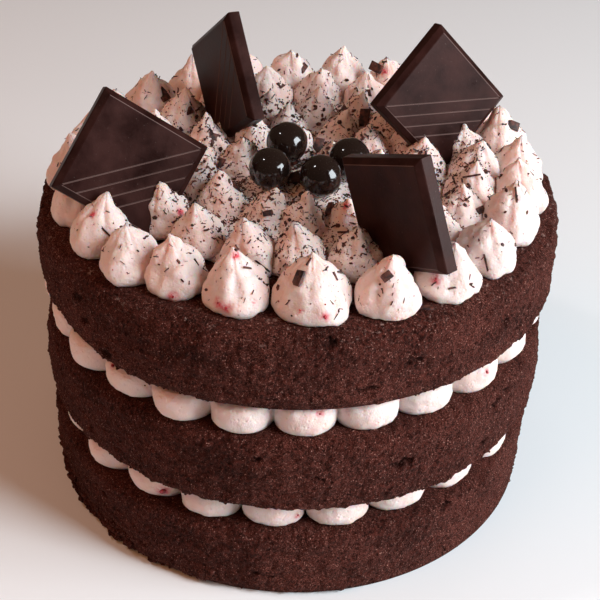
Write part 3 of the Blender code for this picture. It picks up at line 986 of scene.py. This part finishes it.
fillingStyle = {
    "pieces": (
        ("fillingLower", "filling_lower", 23, -93.4, 0.0868, (-0.0016, 0.0006)),
        ("fillingUpper", "filling_upper", 25, -86.5, 0.0884, (-0.0012, 0.0)),
    ),
    "height": 0.0110,
    "uneven": 0.0008,
    "seed": 40,
    "notch": 0.0092,
    "inner": 0.0152,       # the flat part ends this far inside the edge
    "moved": 0.008,        # what lies nearer to the edge than this is drawn in
    "guard": 0.0004,       # no relief this near to the sponge
    "edge": ((0.50, 1.0), (0.31, 0.975), (0.17, 0.92), (0.075, 0.835), (0.02, 0.71), (0.0, 0.55),
             (0.005, 0.37), (0.035, 0.20), (0.09, 0.08), (0.17, 0.0)),
    "row": 0.0006,
    "steps": 30,           # steps of the spin a dollop
    "dents": (0.0052, 0.0012),
    "grain": (0.0018, 0.00034),
}


def fillingOutline(low, radius):
    height = fillingStyle["height"]
    edge = [(radius - inset * height, low + level * height) for inset, level in fillingStyle["edge"]]
    inner = radius - fillingStyle["inner"]
    side = evenPath(edge, fillingStyle["row"])
    return [(0, low + height), (inner, low + height)] + side + [(inner, low), (0, low)]


def makeFillings():
    dent = cloudTexture("fillingDents", fillingStyle["dents"][0], 2)
    fine = cloudTexture("fillingGrain", fillingStyle["grain"][0], 2)
    for order, (name, node, count, phase, radius, shift) in enumerate(fillingStyle["pieces"]):
        low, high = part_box(node)
        draw = random.Random(fillingStyle["seed"] + order)
        bulges = [draw.uniform(-fillingStyle["uneven"], fillingStyle["uneven"]) for _ in range(count)]
        first = math.radians(phase) - math.pi / count
        piece = turnedPiece(name, fillingOutline(low.z, radius), count * fillingStyle["steps"])
        group = piece.vertex_groups.new(name="side")
        for vertex in piece.data.vertices:
            point = vertex.co
            reach = math.hypot(point.x, point.y)
            angle = math.atan2(point.y, point.x)
            if reach > radius - fillingStyle["moved"]:
                place = ((angle - first) / math.tau * count) % count
                across = 2.0 * (place - int(place)) - 1.0
                swell = max(0.0, 1.0 - across * across)
                notch = fillingStyle["notch"] * (1.0 - math.sqrt(swell))
                reach += bulges[int(place) % count] * swell - notch
                point.x = reach * math.cos(angle) + shift[0]
                point.y = reach * math.sin(angle) + shift[1]
                if low.z + fillingStyle["guard"] < point.z < high.z - fillingStyle["guard"]:
                    group.add([vertex.index], 1.0, "REPLACE")
        roughen(piece, dent, fillingStyle["dents"][1], 0.5, "side")
        roughen(piece, fine, fillingStyle["grain"][1], 0.5, "side")
        smoothShade(piece)
        dress(piece, creamLook, "cream", node)
        creamPieces.append(piece)
        print("piece:", name, len(piece.data.polygons), "faces")


makeFillings()
print("stage: fillings made")


# Squares of dark chocolate: a block, its front inset and raised, thin diagonal lines, rounded edges

squareStyle = {
    "width": 0.0387,
    "height": 0.0361,
    "thickness": 0.0058,
    "rim": 0.0019,
    "rimDepth": 0.0016,
    "poses": {
        "squareLeft": ("chocolate_square_left", (-0.0529, -0.0309, 0.1335), 23.5, 25.4, -39.3, 1),
        "squareRight": ("chocolate_square_right", (0.0495, 0.0145, 0.1361), 29.0, 13.6, -50.8, 1),
        "squareBack": ("chocolate_square_back", (-0.0294, 0.0310, 0.1340), -61.4, 4.6, -50.1, -1),
        "squareFront": ("chocolate_square_front", (0.0279, -0.0565, 0.1324), -51.5, -1.3, 23.5, 0),
    },
    "lines": 4,
    "linePitch": 0.0038,
    "lineWidth": 0.00050,
    "lineDepth": 0.00022,
    "lineFloor": 0.45,     # inset of a line's floor, as a share of its width
    "scuffed": (-0.9, -0.09),   # levels between which a line's slopes carry the painted highlight, as shares of its depth
    "edge": 0.00036,
    "edgeAngle": 25,
    "smoothAngle": 28,
    "front": 0.9,          # a face whose normal rises more than this is the front
}


def squareMatrix(centre, bearing, lean, turn):
    bearing, lean, turn = (math.radians(value) for value in (bearing, lean, turn))
    facing = Vector((math.sin(bearing) * math.cos(lean), -math.cos(bearing) * math.cos(lean),
                     math.sin(lean)))
    level = Vector((math.cos(bearing), math.sin(bearing), 0.0))
    upward = facing.cross(level)
    across = math.cos(turn) * level + math.sin(turn) * upward
    return axesMatrix(centre, across, facing.cross(across), facing)


def selectFaces(piece, wanted):
    # picks faces in object mode by a test on each one
    bpy.ops.mesh.select_all(action="DESELECT")
    bpy.ops.mesh.select_mode(type="FACE")
    endEdit()
    for face in piece.data.polygons:
        face.select = wanted(face)
    bpy.ops.object.mode_set(mode="EDIT")


def isFront(face):
    return face.normal.z > squareStyle["front"]


def cutLines(piece, slope):
    # each line is two cuts across the raised face, and the strip between them is pressed in
    way = Vector((squareStyle["width"], slope * squareStyle["height"], 0.0)).normalized()
    side = Vector((slope * way.y, -slope * way.x, 0.0)) if slope > 0 else Vector((-way.y, way.x, 0.0))
    half = 0.5 * squareStyle["lineWidth"]
    offsets = [index * squareStyle["linePitch"] for index in range(squareStyle["lines"])]
    startEdit(piece)
    for offset in offsets:
        for edge in (-half, half):
            selectFaces(piece, isFront)
            bpy.ops.mesh.bisect(plane_co=side * (offset + edge), plane_no=side)
    selectFaces(piece, lambda face: isFront(face) and min(
        abs(Vector(face.center).dot(side) - offset) for offset in offsets) < half)
    bpy.ops.mesh.inset(thickness=squareStyle["lineFloor"] * squareStyle["lineWidth"],
                       depth=-squareStyle["lineDepth"])
    endEdit()


def makeSquare(name, node, centre, bearing, lean, turn, slope):
    depth = squareStyle["thickness"] - squareStyle["rimDepth"]
    piece = addShape(name, bpy.ops.mesh.primitive_cube_add,
                     (squareStyle["width"], squareStyle["height"], depth), size=1.0,
                     location=(0, 0, -squareStyle["rimDepth"] - 0.5 * depth))
    startEdit(piece)
    selectFaces(piece, isFront)
    bpy.ops.mesh.inset(thickness=squareStyle["rim"], depth=squareStyle["rimDepth"])
    endEdit()
    applyModifier(piece, "BEVEL", width=squareStyle["edge"], segments=3, limit_method="ANGLE",
                  angle_limit=math.radians(squareStyle["edgeAngle"]), use_clamp_overlap=True)
    if slope:
        cutLines(piece, slope)
    # the slopes of the lines are painted pale, a painted highlight where they would catch the light
    inside = 0.5 * squareStyle["height"] - squareStyle["rim"]
    deepest, highest = (share * squareStyle["lineDepth"] for share in squareStyle["scuffed"])
    walls = [face.index for face in piece.data.polygons
             if deepest < face.center.z < highest
             and max(abs(face.center.x), abs(face.center.y)) < inside]
    piece.matrix_world = squareMatrix(centre, bearing, lean, turn)
    settle(piece)
    smoothShade(piece, squareStyle["smoothAngle"])
    applyModifier(piece, "WEIGHTED_NORMAL", keep_sharp=True, weight=100)
    dress(piece, barLook, "square_chocolate", node)
    # the slopes of the lines take the second material, with the painted highlight
    piece.data.materials.append(lineLook)
    for index in walls:
        piece.data.polygons[index].material_index = 1
    return piece


squarePieces = [makeSquare(name, *pose) for name, pose in squareStyle["poses"].items()]
print("stage: chocolate squares made")


# Chocolate balls, slightly uneven

def makeBalls():
    waves = cloudTexture("ballWaves", ballStyle["waves"][0], 1)
    pieces = []
    for index, centre in enumerate(ballStyle["centres"]):
        piece = addShape("chocolateBall%d" % (index + 1), bpy.ops.mesh.primitive_uv_sphere_add,
                         segments=ballStyle["segments"], ring_count=ballStyle["rings"],
                         radius=ballStyle["radius"],
                         location=centre, rotation=(0.5 * index, 0.3, 0.7 * index))
        roughen(piece, waves, ballStyle["waves"][1])
        smoothShade(piece)
        dress(piece, ballLook, "ball_chocolate", "chocolate_ball_%d" % (index + 1))
        pieces.append(piece)
    return pieces


ballPieces = makeBalls()
print("stage: balls made")


# Grated chocolate and flakes, scattered over the cream

def scatterCopies(name, masters, places):
    # one mesh that holds a copy of a master at each place
    shapes = [([vertex.co.copy() for vertex in master.data.vertices],
               [list(face.vertices) for face in master.data.polygons]) for master in masters]
    points, faces = [], []
    for kind, matrix in places:
        start = len(points)
        corners, sides = shapes[kind]
        points.extend(matrix @ corner for corner in corners)
        faces.extend([start + index for index in side] for side in sides)
    mesh = bpy.data.meshes.new(name)
    mesh.from_pydata(points, [], faces)
    mesh.update()
    piece = bpy.data.objects.new(name, mesh)
    bpy.context.scene.collection.objects.link(piece)
    return piece


def stripMaster(name, parts, width, thickness, bend):
    # a strip one unit long, bent along its length
    piece = addShape(name, bpy.ops.mesh.primitive_grid_add, (1.0, width, 1.0),
                     x_subdivisions=parts, y_subdivisions=1, size=1.0)
    applyModifier(piece, "SOLIDIFY", thickness=thickness, offset=0.0)
    applyModifier(piece, "SIMPLE_DEFORM", deform_method="BEND", deform_axis="Y",
                  angle=math.radians(bend))
    return piece


def chipMaster():
    piece = addShape("chip", bpy.ops.mesh.primitive_circle_add, (1.0, 0.62, 1.0),
                     vertices=5, radius=0.5, fill_type="NGON")
    applyModifier(piece, "SOLIDIFY", thickness=0.22, offset=0.0)
    return piece


def lumpMaster(name, parts, uneven):
    piece = addShape(name, bpy.ops.mesh.primitive_ico_sphere_add, (1.0, 0.8, 0.6),
                     subdivisions=parts, radius=0.5)
    if uneven:
        roughen(piece, cloudTexture(name, 0.45, 2), uneven)
    return piece


gratingStyle = {
    "seed": 31,
    # count, reach, and how far it crowds outwards
    "falls": ((7000, 0.058, 0.62), (2800, 0.086, 0.42)),
    "centre": (0.004, -0.002),
    "mix": (4, 3, 2, 5),          # shares of curls, chips, grains and slivers
    "shrink": (1.4, 3.4, 3.4, 1.4),   # how much commoner the short ones of each kind are
    "length": (0.00032, 0.0023),
    "width": (0.6, 1.2),          # shares of the length
    "thickness": (0.7, 1.2),
    "lean": 0.75,         # how far from upright a fleck may have fallen
    "above": 0.05,
    "aim": 0.006,         # height above the sponge that a fleck is aimed at
    "lowest": 0.001,      # none lies lower than this above the sponge
    "sunk": 0.04,
    "dustFalls": 13000,
    "dustReach": 0.066,
    "dustPower": 0.6,
    "hollowShadeLevel": 0.0135,  # hollows, where the dust crowds as painted shade, reach up to this height above the sponge
    "dustShare": 0.10,    # share of the dust that stays on the highest tips
    "dustSize": (0.0003, 0.0008),
}


def layOn(hit, normal, size, draw, tilt=0.5):
    facing = (normal + tilt * Vector([draw.uniform(-1, 1) for _ in range(3)])).normalized()
    return layFlat(hit + normal * gratingStyle["sunk"] * size.x, facing, draw.uniform(0, math.tau), size)


def dropFleck(tree, draw, reach, power):
    # a fleck falls on a slant from above a point picked in a disc, and lies where it lands
    turn = draw.uniform(0, math.tau)
    away = reach * draw.random() ** power
    lean = draw.uniform(0, gratingStyle["lean"])
    leanTurn = draw.uniform(0, math.tau)
    way = Vector((math.sin(lean) * math.cos(leanTurn), math.sin(lean) * math.sin(leanTurn),
                  -math.cos(lean)))
    middle = gratingStyle["centre"]
    target = Vector((middle[0] + away * math.cos(turn), middle[1] + away * math.sin(turn),
                     creamFloor + gratingStyle["aim"]))
    hit, normal, _, _ = tree.ray_cast(target - way * gratingStyle["above"], way)
    return hit, normal


def makeGratings():
    tree = surfaceTree(creamPieces)
    draw = random.Random(gratingStyle["seed"])
    masters = [stripMaster("curl", 3, 0.20, 0.08, 60), chipMaster(), lumpMaster("grain", 1, 0.0),
               stripMaster("sliver", 1, 0.13, 0.10, 0)]
    places = []
    shortest, longest = gratingStyle["length"]
    for count, reach, power in gratingStyle["falls"]:
        for _ in range(count):
            hit, normal = dropFleck(tree, draw, reach, power)
            kind = draw.choices((0, 1, 2, 3), gratingStyle["mix"])[0]
            share = draw.random() ** gratingStyle["shrink"][kind]
            length = shortest + (longest - shortest) * share
            width = length * draw.uniform(*gratingStyle["width"])
            size = Vector((length, width, length * draw.uniform(*gratingStyle["thickness"])))
            if hit is not None and hit.z > creamFloor + gratingStyle["lowest"]:
                places.append((kind, layOn(hit, normal, size, draw)))
    piece = scatterCopies("chocolateGratings", masters, places)
    dress(piece, gratingLook, "square_chocolate")
    print("piece: chocolateGratings", len(places), "flecks,", len(piece.data.polygons), "faces")
    # the finest part has rolled down into the hollows of the middle; crowded there, its orange-brown
    # grains are also painted shade
    places = []
    for _ in range(gratingStyle["dustFalls"]):
        hit, normal = dropFleck(tree, draw, gratingStyle["dustReach"], gratingStyle["dustPower"])
        share = draw.random()
        if hit is None:
            continue
        depth = (creamFloor + gratingStyle["hollowShadeLevel"] - hit.z) / gratingStyle["hollowShadeLevel"]
        if share < gratingStyle["dustShare"] + depth:
            length = draw.uniform(*gratingStyle["dustSize"])
            places.append((2, layOn(hit, normal, Vector((length, length, length)), draw)))
    piece = scatterCopies("cocoaDust", masters, places)
    dress(piece, dustAndHollowShadeLook, "square_chocolate")
    dropPieces(masters)
    print("piece: cocoaDust", len(places), "grains")


makeGratings()
print("stage: gratings scattered")


# Larger flakes: those of the solids, and those that stand out in the photo

flakeStyle = {
    "length": 0.0042,
    "width": 0.0022,
    "thickness": 0.0009,
    "rise": 0.60,
    "reach": 0.56,
    "tilt": 0.75,
    "swing": 1.2,
    "margin": 0.0002,
    "outerStep": 3,
    "heapCount": 8,
    "seeds": (3, 77),
    # pixel across and down, length and width in metres, turn in the picture, and how far it stands up
    "seen": (
        (300, 278, 0.0046, 0.0026, 68, 0.2), (387, 276, 0.0032, 0.0022, 35, 0.1),
        (480, 210, 0.0030, 0.0020, 20, 0.1), (331, 209, 0.0042, 0.0022, 78, 0.3),
        (363, 118, 0.0062, 0.0032, 82, 0.9), (378, 68, 0.0050, 0.0030, 150, 0.6),
        (165, 98, 0.0034, 0.0020, 30, 0.3), (513, 126, 0.0042, 0.0026, -20, 0.3),
        (268, 213, 0.0032, 0.0015, 10, 0.1), (222, 163, 0.0032, 0.0015, 60, 0.2),
        (425, 308, 0.0052, 0.0017, 3, 0.0), (314, 147, 0.0055, 0.0028, 75, 0.8),
        (291, 165, 0.0046, 0.0034, 40, 0.6), (296, 180, 0.0040, 0.0030, 110, 0.6),
    ),
    "curls": (
        (106, 232, 0.0050, -45), (260, 264, 0.0077, -39), (343, 232, 0.0040, 2),
        (335, 276, 0.0030, -58), (486, 262, 0.0058, -79), (471, 176, 0.0064, 8),
        (516, 194, 0.0054, -84), (247, 268, 0.0032, 15), (412, 262, 0.0030, 40),
        (196, 262, 0.0026, -20), (452, 288, 0.0028, 10), (309, 262, 0.0030, 75),
    ),
    "seenThickness": 0.0007,
    "curlWidth": 0.0006,
    "uneven": (0.10, 0.14),    # how far a flake's corners stray, as shares of its sides
    "unevenSeed": 4,
    "bevel": 0.05,
    "smoothAngle": 30,
    "lift": (0.3, 0.35),   # shares of the thickness, and of the length of one that stands up
}


def flakeOnDollop(plan, draw):
    # the same rule and draws as the flakes of the solids
    inward = math.atan2(-plan["centre"].y, -plan["centre"].x)
    angle = inward + draw.uniform(-flakeStyle["swing"], flakeStyle["swing"])
    outward = Vector((math.cos(angle), math.sin(angle), 0.0))
    place = plan["centre"] + outward * flakeStyle["reach"] * plan["radius"]
    place += plan["curl"] * flakeStyle["rise"] ** 3
    place.z = creamFloor + flakeStyle["rise"] * plan["height"]
    facing = Vector((outward.x, outward.y, flakeStyle["tilt"]))
    size = (flakeStyle["length"], flakeStyle["width"], flakeStyle["thickness"])
    return layFlat(place, facing, draw.uniform(0.0, math.pi), size)


def flakeIsClear(matrix, plan):
    ends = (-0.5, 0.5)
    corners = [matrix @ Vector((x, y, z)) for x in ends for y in ends for z in ends]
    return all((corner - start).dot(way) <= reach - flakeStyle["margin"]
               for corner in corners for way, start, reach in plan["walls"])


def plannedFlakes():
    draw = random.Random(flakeStyle["seeds"][0])
    matrices = []
    for label, plans in (("outer", outerRing), ("second", secondRing)):
        for index, plan in enumerate(plans):
            matrix = flakeOnDollop(plan, draw)
            wanted = label == "second" or index % flakeStyle["outerStep"] == 0
            if wanted and flakeIsClear(matrix, plan):
                matrices.append(matrix)
    draw = random.Random(flakeStyle["seeds"][1])
    for plan in draw.sample(heap, flakeStyle["heapCount"]):
        matrices.append(flakeOnDollop(plan, draw))
    return matrices


def seenMatrix(tree, across, down, size, turn, stand):
    # lies on the surface seen at a pixel, its length along a direction of the picture
    hit, normal, _, _ = castPixel(tree, across, down)
    if hit is None:
        return None
    right, above, forward = cameraAxes()
    along = right * math.cos(math.radians(turn)) + above * math.sin(math.radians(turn))
    facing = (normal * (1.0 - stand) - forward * stand).normalized()
    along = (along - facing * along.dot(facing)).normalized()
    lying, standing = flakeStyle["lift"]
    lift = lying * size[2] + standing * stand * size[0]
    aim = axesMatrix(hit + normal * lift, along, facing.cross(along), facing)
    return aim @ Matrix.Diagonal((*size, 1.0))


def brokenBlock():
    # a flat piece with uneven corners, one unit long
    piece = addShape("brokenBlock", bpy.ops.mesh.primitive_cube_add, size=1.0)
    draw = random.Random(flakeStyle["unevenSeed"])
    across, along = flakeStyle["uneven"]
    for vertex in piece.data.vertices:
        vertex.co.x += draw.uniform(-across, across)
        vertex.co.y += draw.uniform(-along, along)
    applyModifier(piece, "BEVEL", width=flakeStyle["bevel"], segments=1)
    return piece


def makeFlakes():
    tree = surfaceTree(creamPieces + [spongePieces[2]])
    masters = [brokenBlock(), stripMaster("longCurl", 8, 1.0, 0.5, 35)]
    places = [(0, matrix) for matrix in plannedFlakes()]
    for across, down, length, width, turn, stand in flakeStyle["seen"]:
        size = (length, width, flakeStyle["seenThickness"])
        places.append((0, seenMatrix(tree, across, down, size, turn, stand)))
    for across, down, length, turn in flakeStyle["curls"]:
        size = (length, flakeStyle["curlWidth"], flakeStyle["curlWidth"])
        places.append((1, seenMatrix(tree, across, down, size, turn, 0.0)))
    places = [(kind, matrix) for kind, matrix in places if matrix is not None]
    piece = scatterCopies("chocolateFlakes", masters, places)
    dropPieces(masters)
    smoothShade(piece, flakeStyle["smoothAngle"])
    dress(piece, gratingLook, "square_chocolate")
    print("piece: chocolateFlakes", len(places), "flakes")


makeFlakes()
print("stage: flakes laid")


# Red fruit: bits that show at the surface, with the juice around them

fruitStyle = {
    # pixel across and down, size of the bit and reach of the juice in metres
    "seen": (
        (173, 297, 0.0010, 0.0026), (218, 303, 0.0009, 0.0024), (226, 308, 0.0011, 0.0026),
        (325, 317, 0.0013, 0.0020), (436, 279, 0.0009, 0.0026), (345, 205, 0.0009, 0.0020),
        (236, 255, 0.0007, 0.0020), (385, 72, 0.0010, 0.0024), (163, 491, 0.0026, 0.0030),
        (113, 366, 0.0014, 0.0018), (487, 372, 0.0014, 0.0020), (298, 515, 0.0009, 0.0018),
        (320, 414, 0.0008, 0.0018), (180, 212, 0.0006, 0.0018), (300, 310, 0.0006, 0.0014),
        (92, 215, 0.0006, 0.0018),
    ),
    "depth": 1.7,          # how quickly the juice deepens from its edge inwards
    "seed": 8,
    "count": 90,
    "reach": 0.088,
    "power": 0.5,
    "size": (0.0003, 0.0008),
    "tilt": 0.2,
}


def paintStain(piece, place, reach):
    attributes = piece.data.attributes
    stain = attributes.get("fruitStain") or attributes.new("fruitStain", "FLOAT", "POINT")
    for vertex in piece.data.vertices:
        away = (vertex.co - place).length
        if away < reach:
            deep = min(1.0, fruitStyle["depth"] * (1.0 - away / reach))
            stain.data[vertex.index].value = max(stain.data[vertex.index].value, deep)


def makeFruit():
    trees = [(piece, surfaceTree([piece])) for piece in creamPieces]
    whole = surfaceTree(creamPieces)
    draw = random.Random(fruitStyle["seed"])
    places = []
    for across, down, size, reach in fruitStyle["seen"]:
        hit, normal, _, _ = castPixel(whole, across, down)
        if hit is None:
            continue
        places.append((0, layOn(hit, normal, Vector((size, size, size)), draw, fruitStyle["tilt"])))
        for piece, tree in trees:
            near = tree.find_nearest(hit)
            if near[0] is not None and near[3] < reach:
                paintStain(piece, hit, reach)
    for _ in range(fruitStyle["count"]):
        hit, normal = dropFleck(whole, draw, fruitStyle["reach"], fruitStyle["power"])
        size = draw.uniform(*fruitStyle["size"])
        if hit is not None and hit.z > creamFloor + gratingStyle["lowest"]:
            places.append((0, layOn(hit, normal, Vector((size, size, size)), draw)))
    masters = [lumpMaster("fruitBit", 2, 0.25)]
    piece = scatterCopies("fruitBits", masters, places)
    dropPieces(masters)
    smoothShade(piece)
    dress(piece, fruitLook)
    print("piece: fruitBits", len(places), "bits")


makeFruit()
print("stage: fruit laid")


# Loose crumbs: on the rim of the top, on the edges of the layers and round the foot

crumbStyle = {
    "seed": 19,
    "rim": 170,
    "edges": 420,
    "foot": 260,
    "rimReach": (0.0835, 0.0885),
    "rimShrink": 0.8,
    "edgeRise": (0.0006, 0.0046),   # height above a layer's base
    "footRise": (0.0008, 0.0108),
    "size": (0.0004, 0.0016),
    "footSize": (0.0012, 0.0036),
    "tilt": 0.6,
    "clear": 0.55,         # share of its size that a crumb's middle keeps off the floor
    "above": 0.2,
    "outside": 0.12,
    "footWay": -152.0,     # the side where the foot is most broken, degrees
    "footSpread": 17.0,
}


def makeCrumbs():
    draw = random.Random(crumbStyle["seed"])
    tree = surfaceTree(spongePieces)
    bases = [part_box(node)[0].z for _, node, *_ in spongeStyle["pieces"]]
    places = []

    def put(angle, height, size, fromAbove=False):
        outward = Vector((math.cos(angle), math.sin(angle), 0.0))
        if fromAbove:
            start = outward * draw.uniform(*crumbStyle["rimReach"])
            start += Vector((0, 0, crumbStyle["above"]))
            way = Vector((0, 0, -1))
        else:
            start, way = outward * crumbStyle["outside"] + Vector((0, 0, height)), -outward
        hit, normal, _, _ = tree.ray_cast(start, way)
        if hit is not None:
            hit.z = max(hit.z, crumbStyle["clear"] * size)
            places.append((0, layOn(hit, normal, Vector((size, size, size)), draw, crumbStyle["tilt"])))

    def rise(low, high, power):
        return low + (high - low) * draw.random() ** power

    for _ in range(crumbStyle["rim"]):
        angle = draw.uniform(0, math.tau)
        put(angle, 0.0, draw.uniform(*crumbStyle["size"]) * crumbStyle["rimShrink"], True)
    for _ in range(crumbStyle["edges"]):
        base = draw.choice(bases)
        angle = draw.uniform(0, math.tau)
        height = base + rise(*crumbStyle["edgeRise"], 3)
        put(angle, height, draw.uniform(*crumbStyle["size"]))
    for _ in range(crumbStyle["foot"]):
        angle = math.radians(draw.gauss(crumbStyle["footWay"], crumbStyle["footSpread"]))
        height = rise(*crumbStyle["footRise"], 2)
        put(angle, height, draw.uniform(*crumbStyle["footSize"]))
    masters = [lumpMaster("crumb", 2, 0.4)]
    piece = scatterCopies("looseCrumbs", masters, places)
    dropPieces(masters)
    smoothShade(piece)
    dress(piece, crumbLook, "sponge")
    print("piece: looseCrumbs", len(places), "crumbs")


makeCrumbs()
print("stage: crumbs laid")
